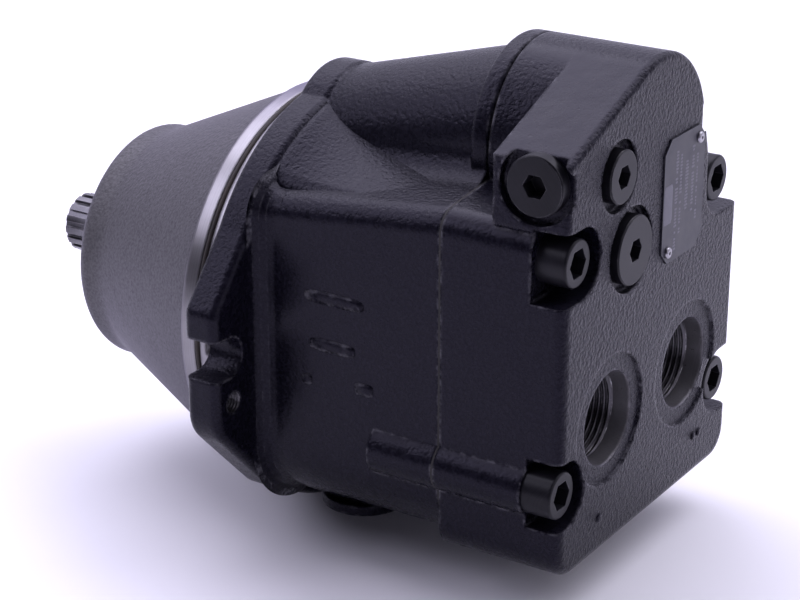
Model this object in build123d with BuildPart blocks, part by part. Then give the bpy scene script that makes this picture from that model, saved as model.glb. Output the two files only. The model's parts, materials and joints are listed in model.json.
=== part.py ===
from build123d import *
from math import cos, radians, sin
import os

os.makedirs("parts", exist_ok=True)

# Axial piston machine with a cartridge flange.
# +X runs along the shaft from the spline end to the port end, +Z is up, and
# the origin is the centre of the flange's mounting face. Millimetres.

# ---------------------------------------------------------------- housing
pilot_dia = 160.0
pilot_length = 12.5
pilot_groove_start = 3.8
pilot_groove_width = 2.5
pilot_groove_depth = 2.0
flange_thickness = 15.0
flange_radius = 85.5
ear_reach = 94.5
ear_top = 18.9
ear_bottom = -29.1
flange_upper = (65.0, 54.2)
flange_chin = (60.0, -64.5)
flange_foot = (38.0, -76.0)
bolt_slot_width = 16.0
bolt_slot_reach = 86.3
nose_length = 91.0
nose_front_radius = 49.4
nose_front_length = 12.0
jack_hole_dia = 8.0
jack_hole = (84.5, -18.6)
side_width = 67.0
barrel_bottom = 66.0
barrel_start = 9.0
shoulder_front = 57.0
shoulder_back = 66.0
shoulder_rise = 6.0
shoulder_crest = 18.0
shoulder_corner = 9.0
blend_radius = 7.0
blend_steps = 4
barrel_corner = 26.0
joint_x = 94.0
sump_depth = 74.0
sump_half_width = 55.0
sump_length = 42.0
rib_width = 8.0

# servo bulge on top of the housing
bulge_y = 2.0
bulge_z = 78.5
bulge_radius = 37.0
bulge_front_z = 62.0
bulge_front_radius = 30.0
bulge_blend = 12.0

# ---------------------------------------------------------------- end cap
gasket_thickness = 0.8
end_cap_length = 50.2
end_cap_far_width = 71.0
end_cap_corner = 12.0
slab_length = 30.0
slab_tilt = 21.0
slab_left = 66.0
slab_bottom = 66.5
block_right = 44.0

# work ports, 1-5/16 inch straight thread
port_pitch = 61.2
port_z = -13.5
port_thread_dia = 33.3
port_seat_dia = 35.9
port_seat_depth = 6.5
port_spotface_dia = 50.0
port_thread_depth = 20.0
port_spotface_depth = 1.0
port_drill_dia = 24.0
kidney_depth = 11.0
cap_kidney_half = 52.0
cap_edge_radius = 4.0
cap_top_edge_radius = 2.5

# cap screws, M12 socket head
screw_dia = 12.0
screw_head_dia = 18.0
screw_head_height = 12.0
screw_hex = 10.0
screw_engagement = 24.0
screw_upper = (55.0, 54.0)
screw_lower = (62.0, -32.0)
screw_face_inset = 2.0
screw_clearance = 0.6
pocket_radius = 13.5
screw_boss_radius = 10.0
screw_boss_length = 28.0

# case drain port, 7/8 inch straight thread
drain_x = 36.0
drain_y = -28.0
drain_thread_dia = 22.2
drain_spotface_dia = 34.0
drain_drill_dia = 14.0

# ---------------------------------------------------------------- rotating group
piston_count = 9
piston_pitch_radius = 33.0
piston_dia = 17.0
piston_rear = 66.0
piston_neck_dia = 8.8
piston_hollow_dia = 9.2
ball_radius = 6.2
ball_x = 8.0
slipper_face_x = -2.0
slipper_foot_dia = 20.0
slipper_foot_height = 4.0
slipper_neck_dia = 16.0
retainer_thickness = 3.0
retainer_dia = 92.0
block_dia = 93.0
block_start = 36.0
block_floor = 8.75
valve_plate_thickness = 6.0
valve_plate_dia = 92.0
kidney_width = 9.0
plate_kidney_half = 60.0
timing_pin_radius = 42.0
timing_pin_dia = 4.0
timing_pin_length = 9.0
film = 0.05
running = 0.03
fit = 0.1

shaft_reach = 38.3
shaft_spline_dia = 25.0
shaft_spline_root = 21.6
shaft_spline_teeth = 15
shaft_spline_length = 30.0
shaft_spline_gap = 2.4
shaft_neck_gap = 2.0
shaft_neck_dia = 28.0
shaft_collar_dia = 44.0
shaft_collar_length = 5.0
shaft_journal_dia = 35.0
shaft_body_dia = 30.0
block_spline_dia = 34.0
block_spline_root = 30.6
block_spline_teeth = 20
block_spline_gap = 2.6
block_spline_start = 38.0
block_spline_end = 56.0
rear_journal_dia = 26.0

front_bearing_dia = 72.0
front_bearing_inset = 16.0
front_bearing_length = 18.0
roller_count = 15
roller_dia = 6.8
roller_length = 12.0
roller_pitch_radius = 26.3
cage_thickness = 1.8
seal_carrier_inset = 3.5
seal_dia = 50.0
seal_length = 8.0
seal_bore_dia = 60.0
rear_bearing_dia = 33.0
rear_bearing_inset = 2.2
rear_bearing_length = 18.0
needle_dia = 2.5
needle_count = 20
needle_length = 13.0
needle_pitch_radius = 14.32
rear_shell_wall = 0.9
needle_cage_thickness = 1.2

cavity_radius = 58.0
cavity_front_gap = 3.0
cavity_nose_radius = 48.0
cavity_step = -32.0
saddle_inner = 30.0
saddle_outer = 45.0
saddle_rear = -14.0
saddle_half_height = 38.0
ring_groove_inset = 2.4
ring_groove_depth = 1.6
ring_width = 2.0
swash_dia = 106.0
swash_thickness = 20.0
swash_bore = 50.0
swash_arm_width = 12.0
fork_gap = 6.4
cradle_radius = 50.0
cradle_shell = 2.5
lug_inner = 31.0
lug_outer = 44.0

spring_mean_radius = 18.2
spring_wire = 3.6
spring_turns = 3
spring_start = 62.0
spring_seat_thickness = 1.2
spring_chamber_dia = 42.0
spring_chamber_start = 58.0
spring_chamber_rear = 4.75
snap_ring_thickness = 1.5
hold_pin_radius = 20.5
hold_pin_dia = 5.0
guide_radius = 22.0
guide_end = 20.0

# servo
servo_z = 77.0
servo_piston_dia = 26.0
servo_start = 42.0
servo_piston_front = 50.0
servo_piston_length = 22.0
servo_rod_dia = 13.0
servo_pin_x = 22.0
servo_pin_dia = 6.0
servo_fork_radius = 5.5
servo_window = 8.5
servo_window_top = 84.0
servo_spring_wire = 2.8

servo_spring_radius = 9.0
servo_spring_turns = 4

# shuttle valve across the upper block of the end cap
shuttle_inset = 13.3
shuttle_z = 83.2
spool_dia = 14.0
spool_land = 6.0
spool_length = 20.0
spool_centre_y = 3.0
spool_waist_dia = 8.0
shuttle_spring_radius = 5.9
shuttle_spring_wire = 1.2
shuttle_spring_turns = 3
shuttle_near_y = -16.0
shuttle_far_y = 35.0
gallery_dia = 11.0

# hexagon socket plugs: (y, z), disc, spotface, thread diameter and depth, socket size
plug_spotface_depth = 3.2
plug_proud = 1.8
relief_place = (-30.0, 79.0)
relief_disc_dia = 19.8
relief_spotface_dia = 26.8
relief_thread_dia = 15.0
relief_thread_length = 9.0
relief_bore_dia = 12.0
relief_bore_depth = 41.0
relief_seat_depth = 22.0
relief_seat_length = 3.0
relief_seat_hole = 7.0
relief_poppet_length = 9.0
relief_spring_radius = 3.9
relief_spring_wire = 1.1
relief_spring_turns = 4
gauge_place = (-19.0, 48.5)
gauge_disc_dia = 26.0
gauge_spotface_dia = 32.4
gauge_thread_dia = 22.2
gauge_thread_length = 13.0
gauge_drill_dia = 8.0
gauge_bore_depth = 37.0
side_disc_dia = 22.2
side_spotface_dia = 28.8
side_thread_dia = 18.0
side_thread_length = 13.0
side_spotface_depth = 4.2
plug_hex = 8.0
plug_hex_depth = 6.0
o_ring_section = 1.6

# nameplate and its drive screws
plate_left = 4.2
plate_right = 37.0
plate_low = 34.0
plate_high = 82.0
plate_corner = 5.0
plate_thickness = 0.6
rivet_places = [(9.0, 38.5), (32.0, 77.0)]
rivet_dia = 2.4
rivet_head_dia = 4.4
rivet_length = 6.0

# dowels that locate the end cap
dowel_dia = 6.0
dowel_depth = 9.0
dowel_places = [(-63.0, 20.0), (60.0, -50.0)]

# derived positions
cap_x = joint_x + gasket_thickness
rear_x = cap_x + end_cap_length
pilot_radius = pilot_dia / 2
slipper_back_x = slipper_face_x + slipper_foot_height
valve_plate_x = cap_x - valve_plate_thickness
slab_touch_y = bulge_y - bulge_radius * sin(radians(slab_tilt))
plug_floor_x = rear_x - plug_spotface_depth
head_seat_x = rear_x - screw_face_inset - screw_head_height
shaft_end = -nose_length - shaft_reach
shaft_neck_x = -nose_length - shaft_neck_gap
front_bearing_start = front_bearing_inset - nose_length
front_bearing_end = front_bearing_start + front_bearing_length
seal_carrier_start = seal_carrier_inset - nose_length
ring_groove_x = ring_groove_inset - nose_length
cavity_front = front_bearing_end + cavity_front_gap
block_front = rear_x - slab_length
block_end = valve_plate_x - film
bore_bottom = block_end - block_floor
spring_chamber_end = block_end - spring_chamber_rear
snap_groove_x = spring_chamber_end - snap_ring_thickness - fit - 0.8
spring_end = snap_groove_x - spring_seat_thickness - fit - spring_wire / 2
spring_length = spring_end - spring_start
rear_bearing_start = cap_x + rear_bearing_inset
rear_bearing_end = rear_bearing_start + rear_bearing_length
shuttle_x = rear_x - shuttle_inset
relief_bore_end = rear_x - relief_bore_depth
relief_seat_x = rear_x - relief_seat_depth
gauge_bore_end = rear_x - gauge_bore_depth
piston_angles = [90 + i * 360 / piston_count for i in range(piston_count)]
screw_places = [
    (-screw_upper[0], screw_upper[1]),
    (screw_upper[0], screw_upper[1]),
    (-screw_lower[0], screw_lower[1]),
    (screw_lower[0], screw_lower[1]),
]


def section(x):
    """The plane across the shaft at x, with Y to the right and Z up."""
    return Plane.YZ.offset(x)


def slab_line_z(y):
    """Height of the sloping top slab at y: a line that touches the bulge circle."""
    return bulge_z + (bulge_radius + (y - bulge_y) * sin(radians(slab_tilt))) / cos(radians(slab_tilt))


def finish(part, name):
    part.label = name
    export_step(part, f"parts/{name}.step")


# ================================================================ housing
with BuildPart() as housing:
    # mounting flange with two ears
    with BuildSketch(section(0)) as flange_outline:
        with BuildLine():
            Polyline(
                (-flange_upper[0], flange_upper[1]), (-ear_reach, ear_top), (-ear_reach, ear_bottom),
                (-flange_chin[0], flange_chin[1]), (-flange_foot[0], flange_foot[1]),
                flange_foot, flange_chin,
                (ear_reach, ear_bottom), (ear_reach, ear_top), flange_upper,
                close=True,
            )
        make_face()
        for side in (-1, 1):
            for y, z, r in ((ear_reach, ear_top, 6), (ear_reach, ear_bottom, 16), (*flange_chin, 20)):
                fillet(flange_outline.vertices().sort_by_distance((side * y, z))[0], r)
        Circle(flange_radius)
        with Locations((bulge_y, bulge_front_z)):
            Circle(bulge_front_radius)
        fillet(flange_outline.vertices().group_by(Axis.Y)[-3:-1], 12.0)
    extrude(amount=flange_thickness)
    fillet(housing.edges().filter_by(Plane.YZ), 3.5)

    # nose and pilot, turned about the shaft axis
    nose_x = -nose_length
    flare_x = nose_x + nose_front_length
    with BuildSketch(Plane.XY) as nose_profile:
        with BuildLine():
            Polyline(
                (nose_x, 0),
                (nose_x, nose_front_radius),
                (flare_x, nose_front_radius),
                (-pilot_length, pilot_radius - 1.2),
                (-pilot_length, pilot_radius),
                (-pilot_groove_start - pilot_groove_width, pilot_radius),
                (-pilot_groove_start - pilot_groove_width, pilot_radius - pilot_groove_depth),
                (-pilot_groove_start, pilot_radius - pilot_groove_depth),
                (-pilot_groove_start, pilot_radius),
                (1, pilot_radius),
                (1, 0),
                close=True,
            )
        make_face()
        fillet(nose_profile.vertices().sort_by_distance((nose_x, nose_front_radius))[0], 5.0)
        fillet(nose_profile.vertices().sort_by_distance((flare_x, nose_front_radius))[0], 16.0)
    revolve(axis=Axis.X)

    # barrel: flat sides, rounded lower corners and shoulders that rise towards the end cap
    for x, shoulder in ((barrel_start, shoulder_front), (joint_x, shoulder_back)):
        with BuildSketch(section(x)) as barrel_outline:
            with BuildLine():
                Polyline(
                    (-side_width, -barrel_bottom), (side_width, -barrel_bottom),
                    (side_width, shoulder), (shoulder_crest, shoulder + shoulder_rise),
                    (-shoulder_crest, shoulder + shoulder_rise), (-side_width, shoulder),
                    close=True,
                )
            make_face()
            fillet(barrel_outline.vertices().group_by(Axis.Y)[0], barrel_corner)
            for side in (-1, 1):
                corner = barrel_outline.vertices().sort_by_distance((side * side_width, shoulder))
                fillet(corner[0], shoulder_corner)
    loft(ruled=True)

    # servo bulge, which grows towards the end cap and ends in a raised rim
    with BuildSketch(section(barrel_start)):
        with Locations((bulge_y, bulge_front_z)):
            Circle(bulge_front_radius - 2)
    with BuildSketch(section(joint_x)):
        with Locations((bulge_y, bulge_z)):
            Circle(bulge_radius - 3)
    loft()
    bulge_root = housing.edges(Select.NEW).filter_by(lambda edge: edge.center().X > 20)
    fillet(bulge_root, bulge_blend)

    # concave blend between the flange and the barrel, as slices of an arc
    for step in range(blend_steps):
        near, far = (blend_radius * (1 - cos(radians(90 * k / blend_steps))) for k in (step, step + 1))
        drops = [blend_radius * (1 - sin(radians(90 * k / blend_steps))) for k in (step, step + 1)]
        for x, drop in ((flange_thickness + near, drops[0]), (flange_thickness + far, drops[1])):
            share = (x - barrel_start) / (joint_x - barrel_start)
            shoulder = shoulder_front + share * (shoulder_back - shoulder_front)
            with BuildSketch(section(x)) as blend_outline:
                with BuildLine():
                    Polyline(
                        (-side_width, -barrel_bottom), (side_width, -barrel_bottom),
                        (side_width, shoulder), (shoulder_crest, shoulder + shoulder_rise),
                        (-shoulder_crest, shoulder + shoulder_rise), (-side_width, shoulder),
                        close=True,
                    )
                make_face()
                offset(amount=drop + 0.01, kind=Kind.INTERSECTION)
                fillet(blend_outline.vertices().group_by(Axis.Y)[0], barrel_corner + drop)
                for side in (-1, 1):
                    corner = (side * (side_width + drop), shoulder + drop)
                    fillet(blend_outline.vertices().sort_by_distance(corner)[0], shoulder_corner + drop)
        loft(ruled=True)

    # sump under the barrel, which carries the case drain port
    with BuildSketch(section(flange_thickness - 6)) as sump_outline:
        with Locations((0, -sump_depth / 2)):
            Rectangle(2 * sump_half_width, sump_depth)
        fillet(sump_outline.vertices().group_by(Axis.Y)[0], barrel_corner)
    extrude(amount=sump_length + 6)
    sump_end = housing.faces(Select.LAST).filter_by(Axis.X).sort_by(Axis.X)[-1]
    fillet(sump_end.edges().sort_by(Axis.Z)[0], 7.0)

    with BuildSketch(Plane.XY.offset(bulge_z)) as rim_profile:
        with Locations((joint_x - rib_width / 2, bulge_y + bulge_radius / 2)):
            Rectangle(rib_width, bulge_radius)
        fillet(rim_profile.vertices().group_by(Axis.Y)[-1].sort_by(Axis.X)[0], 2.5)
        chamfer(rim_profile.vertices().group_by(Axis.Y)[-1].sort_by(Axis.X)[-1], 0.8)
    revolve(axis=Axis((0, bulge_y, bulge_z), (1, 0, 0)))

    # bosses around the two lower screws
    with BuildSketch(section(joint_x - screw_boss_length)):
        with Locations((-screw_lower[0], screw_lower[1]), (screw_lower[0], screw_lower[1])):
            Circle(screw_boss_radius)
    extrude(amount=screw_boss_length)

    # case drain port in the sump
    upwards = (Align.CENTER, Align.CENTER, Align.MIN)
    with Locations((drain_x, drain_y, -sump_depth)):
        Cylinder(drain_spotface_dia / 2, 4)
    with Locations((drain_x, drain_y, -sump_depth - 2)):
        Cylinder(drain_thread_dia / 2, 16, align=upwards, mode=Mode.SUBTRACT)
    with Locations((drain_x, drain_y, -sump_depth)):
        Cylinder(drain_drill_dia / 2, 30, align=upwards, mode=Mode.SUBTRACT)

    # case cavity, front bearing bore and seal bore
    with BuildSketch(Plane.XY):
        with BuildLine():
            Polyline(
                (nose_x - 1, 0), (nose_x - 1, seal_bore_dia / 2),
                (front_bearing_start, seal_bore_dia / 2),
                (front_bearing_start, front_bearing_dia / 2),
                (cavity_front, front_bearing_dia / 2), (cavity_front, cavity_nose_radius),
                (cavity_step, cavity_radius), (joint_x + 1, cavity_radius), (joint_x + 1, 0),
                close=True,
            )
        make_face()
        with Locations((ring_groove_x, seal_bore_dia / 2)):
            Rectangle(ring_width + 0.2, 2 * ring_groove_depth)
    revolve(axis=Axis.X, mode=Mode.SUBTRACT)

    # saddles for the cradle bearings
    for y in (-saddle_inner, saddle_outer):
        with BuildSketch(Plane.XZ.offset(-y)):
            with Locations(((cavity_front - 3 + saddle_rear) / 2, 0)):
                Rectangle(saddle_rear - cavity_front + 3, 2 * saddle_half_height)
            with Locations((ball_x, 0)):
                Circle(cradle_radius + cradle_shell, mode=Mode.SUBTRACT)
        extrude(amount=saddle_outer - saddle_inner)

    # servo bore and the window for the tilting arm
    with BuildSketch(section(servo_start)):
        with Locations((bulge_y, servo_z)):
            Circle(servo_piston_dia / 2)
    extrude(amount=joint_x - servo_start, mode=Mode.SUBTRACT)
    for x, length, top in ((-14, 26, 71.0), (10, servo_start - 9, servo_window_top)):
        with Locations((x, bulge_y, 40)):
            Box(
                length, 2 * servo_window, top - 40,
                align=(Align.MIN, Align.CENTER, Align.MIN), mode=Mode.SUBTRACT,
            )

    # open bolt slots and jack screw holes in the ears
    with BuildSketch(section(-1)):
        for side in (-1, 1):
            with Locations((side * (bolt_slot_reach + bolt_slot_width / 2), 0)):
                SlotCenterToCenter(bolt_slot_width, bolt_slot_width)
            with Locations((side * jack_hole[0], jack_hole[1])):
                Circle(jack_hole_dia / 2)
    extrude(amount=flange_thickness + 2, mode=Mode.SUBTRACT)

    # threaded holes for the cap screws and holes for the dowels
    with BuildSketch(section(joint_x - screw_engagement - 3)):
        with Locations(*screw_places):
            Circle(screw_dia / 2)
    extrude(amount=screw_engagement + 3, mode=Mode.SUBTRACT)
    with BuildSketch(section(joint_x - dowel_depth)):
        with Locations(*dowel_places):
            Circle(dowel_dia / 2)
    extrude(amount=dowel_depth, mode=Mode.SUBTRACT)
finish(housing.part, "housing")

# ================================================================ end cap
upper_left = [
    (-slab_left, slab_bottom),
    (-slab_left, slab_line_z(-slab_left)),
    (slab_touch_y, slab_line_z(slab_touch_y)),
    (bulge_y, bulge_z),
    (bulge_y, slab_bottom - 6),
    (-slab_left + 8, slab_bottom - 6),
]
with BuildPart() as end_cap:
    # base, as wide as the barrel on the near side and wider on the far side
    with BuildSketch(section(cap_x)) as cap_outline:
        with BuildLine():
            Polyline(
                (-side_width, -barrel_bottom), (end_cap_far_width, -barrel_bottom),
                (end_cap_far_width, shoulder_back - 3), (shoulder_crest, shoulder_back + shoulder_rise),
                (-shoulder_crest, shoulder_back + shoulder_rise), (-side_width, shoulder_back),
                close=True,
            )
        make_face()
        fillet(cap_outline.vertices().group_by(Axis.Y)[0], end_cap_corner)
        for corner in ((-side_width, shoulder_back), (end_cap_far_width, shoulder_back - 3)):
            fillet(cap_outline.vertices().sort_by_distance(corner)[0], shoulder_corner)
        with Locations((-screw_lower[0], screw_lower[1]), (screw_lower[0], screw_lower[1])):
            Circle(screw_boss_radius)
    extrude(amount=end_cap_length)

    # neck that carries on from the servo bulge
    with BuildSketch(section(cap_x)):
        with Locations((bulge_y, bulge_z)):
            Circle(bulge_radius)
    extrude(amount=end_cap_length)

    # sloping block over the near corner
    with BuildSketch(section(block_front)):
        with BuildLine():
            Polyline(*upper_left, close=True)
        make_face()
    extrude(amount=rear_x - block_front)

    # far shoulder that joins the neck to the base
    with BuildSketch(section(cap_x)):
        with BuildLine():
            Polyline(
                (bulge_y + 30, 50), (block_right + 4, 50), (block_right - 2, 73),
                (bulge_y + bulge_radius - 0.6, bulge_z + 6), (bulge_y, bulge_z + 6),
                close=True,
            )
        make_face()
    extrude(amount=end_cap_length)
    # rounded edges all round the rear face
    rear_rim = end_cap.faces().sort_by(Axis.X)[-1].outer_wire().edges()
    fillet(rear_rim.filter_by(lambda edge: edge.center().Z < slab_bottom), cap_edge_radius)
    rear_rim = end_cap.faces().sort_by(Axis.X)[-1].outer_wire().edges()
    fillet(rear_rim.filter_by(lambda edge: edge.center().Z > slab_bottom + 1), cap_top_edge_radius)

    # open pockets around the four screw heads
    with BuildSketch(section(head_seat_x)):
        for y, z in screw_places:
            side = 1 if y > 0 else -1
            with Locations((y, z)):
                Circle(pocket_radius)
            with Locations((y + side * pocket_radius, z)):
                Rectangle(2 * pocket_radius, 2 * pocket_radius)
        with Locations((screw_upper[0] + 2, screw_upper[1] + pocket_radius)):
            Rectangle(2 * pocket_radius + 4, 2 * pocket_radius)
    extrude(amount=end_cap_length, mode=Mode.SUBTRACT)
    with BuildSketch(section(cap_x)):
        with Locations(*screw_places):
            Circle(screw_dia / 2 + screw_clearance)
    extrude(amount=end_cap_length, mode=Mode.SUBTRACT)
    with BuildSketch(section(cap_x)):
        with Locations(*dowel_places):
            Circle(dowel_dia / 2)
    extrude(amount=dowel_depth, mode=Mode.SUBTRACT)

    # work ports: spotface, conical seat, thread and the passage to the kidney
    port_face_x = rear_x - port_spotface_depth
    port_thread_end = rear_x - port_thread_depth
    port_passage_end = cap_x + kidney_depth - 1
    for side, middle in ((-1, 180), (1, 0)):
        port_y = side * port_pitch / 2
        with BuildSketch(Plane((0, port_y, port_z))):
            with BuildLine():
                Polyline(
                    (rear_x + 1, 0), (rear_x + 1, port_spotface_dia / 2),
                    (port_face_x, port_spotface_dia / 2), (port_face_x, port_seat_dia / 2),
                    (port_face_x - port_seat_depth, port_thread_dia / 2),
                    (port_thread_end, port_thread_dia / 2), (port_thread_end - 3, port_drill_dia / 2),
                    (port_passage_end, port_drill_dia / 2), (port_passage_end, 0),
                    close=True,
                )
            make_face()
        revolve(axis=Axis((0, port_y, port_z), (1, 0, 0)), mode=Mode.SUBTRACT)
        with BuildSketch(section(cap_x)):
            kidney = CenterArc((0, 0), piston_pitch_radius, middle - cap_kidney_half, 2 * cap_kidney_half)
            SlotArc(kidney, kidney_width + 2)
        extrude(amount=kidney_depth, mode=Mode.SUBTRACT)

    # rear bearing bore, timing pin hole and nameplate screw holes
    with BuildSketch(section(cap_x)):
        Circle(rear_bearing_dia / 2)
    extrude(amount=rear_bearing_end - cap_x, mode=Mode.SUBTRACT)
    with BuildSketch(section(cap_x)):
        with Locations((0, -timing_pin_radius)):
            Circle(timing_pin_dia / 2)
    extrude(amount=timing_pin_length / 2, mode=Mode.SUBTRACT)
    with BuildSketch(section(rear_x - rivet_length)):
        with Locations(*rivet_places):
            Circle(rivet_dia / 2)
    extrude(amount=rivet_length, mode=Mode.SUBTRACT)

    # relief valve and gauge port bores from the rear face
    relief_thread_x = plug_floor_x - relief_thread_length
    gauge_thread_x = plug_floor_x - gauge_thread_length - 2
    for place, steps in (
        (relief_place, ((relief_spotface_dia, plug_floor_x), (relief_thread_dia, relief_thread_x),
                        (relief_bore_dia, relief_bore_end))),
        (gauge_place, ((gauge_spotface_dia, plug_floor_x), (gauge_thread_dia, gauge_thread_x),
                       (gauge_drill_dia, gauge_bore_end))),
    ):
        for dia, start in steps:
            with BuildSketch(section(start)):
                with Locations(place):
                    Circle(dia / 2)
            extrude(amount=rear_x - start + 1, mode=Mode.SUBTRACT)

    # shuttle bore, its gallery to the relief valve and the plug bores at both ends
    for y, dia, length in (
        (-slab_left - 1, side_spotface_dia, side_spotface_depth + 1),
        (-slab_left, side_thread_dia, side_spotface_depth + side_thread_length + 1.5),
        (-slab_left, gallery_dia, slab_left + shuttle_near_y),
        (shuttle_near_y - 0.01, spool_dia, shuttle_far_y - shuttle_near_y),
        (shuttle_far_y - side_thread_length - 1.5, side_thread_dia, side_thread_length + 2),
        (shuttle_far_y, side_spotface_dia, 12),
    ):
        with BuildSketch(Plane.XZ.offset(-y)):
            with Locations((shuttle_x, shuttle_z)):
                Circle(dia / 2)
        extrude(amount=-length, mode=Mode.SUBTRACT)
finish(end_cap.part, "end_cap")

# ================================================================ joint
with BuildPart() as end_cap_gasket:
    with BuildSketch(section(joint_x)) as gasket_outline:
        with BuildLine():
            Polyline(
                (-side_width, -barrel_bottom), (side_width, -barrel_bottom),
                (side_width, shoulder_back), (shoulder_crest, shoulder_back + shoulder_rise),
                (-shoulder_crest, shoulder_back + shoulder_rise), (-side_width, shoulder_back),
                close=True,
            )
        make_face()
        fillet(gasket_outline.vertices().group_by(Axis.Y)[0], barrel_corner)
        for side in (-1, 1):
            corner = (side * side_width, shoulder_back)
            fillet(gasket_outline.vertices().sort_by_distance(corner)[0], shoulder_corner)
        with Locations((bulge_y, bulge_z)):
            Circle(bulge_radius - 1)
        with Locations((-screw_lower[0], screw_lower[1]), (screw_lower[0], screw_lower[1])):
            Circle(screw_boss_radius)
        Circle(cavity_radius, mode=Mode.SUBTRACT)
        with Locations((bulge_y, servo_z)):
            Circle(servo_piston_dia / 2, mode=Mode.SUBTRACT)
        with Locations(*screw_places):
            Circle(screw_dia / 2 + screw_clearance, mode=Mode.SUBTRACT)
        with Locations(*dowel_places):
            Circle(dowel_dia / 2, mode=Mode.SUBTRACT)
    extrude(amount=gasket_thickness)
finish(end_cap_gasket.part, "end_cap_gasket")

with BuildPart() as end_cap_screws:
    with BuildSketch(section(joint_x - screw_engagement)):
        with Locations(*screw_places):
            Circle(screw_dia / 2)
    extrude(amount=head_seat_x - joint_x + screw_engagement)
    with BuildSketch(section(head_seat_x)):
        with Locations(*screw_places):
            Circle(screw_head_dia / 2)
    extrude(amount=screw_head_height)
    head_rims = end_cap_screws.faces().sort_by(Axis.X)[-4:].edges()
    fillet(head_rims, 1.0)
    with BuildSketch(section(head_seat_x + screw_head_height)):
        with Locations(*screw_places):
            RegularPolygon(screw_hex / 2, 6, major_radius=False)
    extrude(amount=-screw_hex * 0.6, mode=Mode.SUBTRACT)
finish(end_cap_screws.part, "end_cap_screws")

with BuildPart() as dowel_pins:
    with BuildSketch(section(joint_x - dowel_depth + fit)):
        with Locations(*dowel_places):
            Circle(dowel_dia / 2)
    extrude(amount=2 * dowel_depth + gasket_thickness - 2 * fit)
    # the pin that times the valve plate
    with BuildSketch(section(cap_x - timing_pin_length / 2)):
        with Locations((0, -timing_pin_radius)):
            Circle(timing_pin_dia / 2)
    extrude(amount=timing_pin_length - fit)
finish(dowel_pins.part, "dowel_pins")

# ================================================================ shaft and bearings
collar_end_x = front_bearing_end + shaft_collar_length
with BuildPart() as drive_shaft:
    spline_radius = shaft_spline_dia / 2
    journal_radius = shaft_journal_dia / 2
    with BuildSketch(Plane.XY):
        with BuildLine():
            Polyline(
                (shaft_end, 0), (shaft_end, spline_radius - 1.2), (shaft_end + 1.2, spline_radius),
                (shaft_end + shaft_spline_length, spline_radius),
                (shaft_end + shaft_spline_length, shaft_neck_dia / 2),
                (shaft_neck_x, shaft_neck_dia / 2), (shaft_neck_x + 2, journal_radius),
                (front_bearing_end, journal_radius), (front_bearing_end, shaft_collar_dia / 2),
                (collar_end_x, shaft_collar_dia / 2), (collar_end_x, shaft_body_dia / 2),
                (block_spline_start, shaft_body_dia / 2), (block_spline_start, block_spline_dia / 2),
                (block_spline_end, block_spline_dia / 2), (block_spline_end, shaft_body_dia / 2),
                (cap_x - 1, shaft_body_dia / 2), (cap_x - 1, rear_journal_dia / 2),
                (rear_bearing_end - 2, rear_journal_dia / 2),
                (rear_bearing_end - 1, rear_journal_dia / 2 - 1),
                (rear_bearing_end - 1, 0),
                close=True,
            )
        make_face()
    revolve(axis=Axis.X)
    for start, length, root, tip, teeth, gap in (
        (shaft_end, shaft_spline_length,
         shaft_spline_root, shaft_spline_dia, shaft_spline_teeth, shaft_spline_gap),
        (block_spline_start, block_spline_end - block_spline_start,
         block_spline_root, block_spline_dia, block_spline_teeth, block_spline_gap),
    ):
        with BuildSketch(section(start)):
            with PolarLocations((root + tip + 2) / 4, teeth):
                Rectangle((tip - root) / 2 + 1, gap)
        extrude(amount=length, mode=Mode.SUBTRACT)
finish(drive_shaft.part, "drive_shaft")

bearing_middle = (front_bearing_start + front_bearing_end) / 2
inner_track = roller_pitch_radius - roller_dia / 2 - fit
outer_track = roller_pitch_radius + roller_dia / 2 + fit
ring_turns = (
    ("front_bearing_cup", front_bearing_start, front_bearing_end, outer_track, front_bearing_dia / 2),
    ("front_bearing_cone", front_bearing_start + 0.5, front_bearing_end, journal_radius, inner_track),
    ("rear_bearing_shell", rear_bearing_start, rear_bearing_end,
     rear_bearing_dia / 2 - rear_shell_wall, rear_bearing_dia / 2),
)
for name, start, end, inner, outer in ring_turns:
    with BuildPart() as bearing_ring:
        with BuildSketch(Plane.XY) as ring_profile:
            with Locations(((start + end) / 2, (inner + outer) / 2)):
                Rectangle(end - start, outer - inner)
            chamfer(ring_profile.vertices(), min(0.8, (outer - inner) / 4))
        revolve(axis=Axis.X)
    finish(bearing_ring.part, name)

rolling_sets = (
    ("front_bearing", bearing_middle,
     roller_length, roller_dia, roller_pitch_radius, roller_count, cage_thickness),
    ("rear_bearing", (rear_bearing_start + rear_bearing_end) / 2,
     needle_length, needle_dia, needle_pitch_radius, needle_count, needle_cage_thickness),
)
for name, middle, length, dia, radius, count, thickness in rolling_sets:
    with BuildPart() as rollers:
        with BuildSketch(section(middle - length / 2)):
            with PolarLocations(radius, count):
                Circle(dia / 2)
        extrude(amount=length)
    finish(rollers.part, name + "_rollers")
    with BuildPart() as cage:
        with BuildSketch(section(middle - length / 2 - 1.5)):
            Circle(radius + thickness / 2)
            Circle(radius - thickness / 2, mode=Mode.SUBTRACT)
        extrude(amount=length + 3)
        with BuildSketch(section(middle - length / 2 - fit)):
            with PolarLocations(radius, count):
                Circle(dia / 2 + fit)
        extrude(amount=length + 2 * fit, mode=Mode.SUBTRACT)
    finish(cage.part, name + "_cage")

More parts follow.
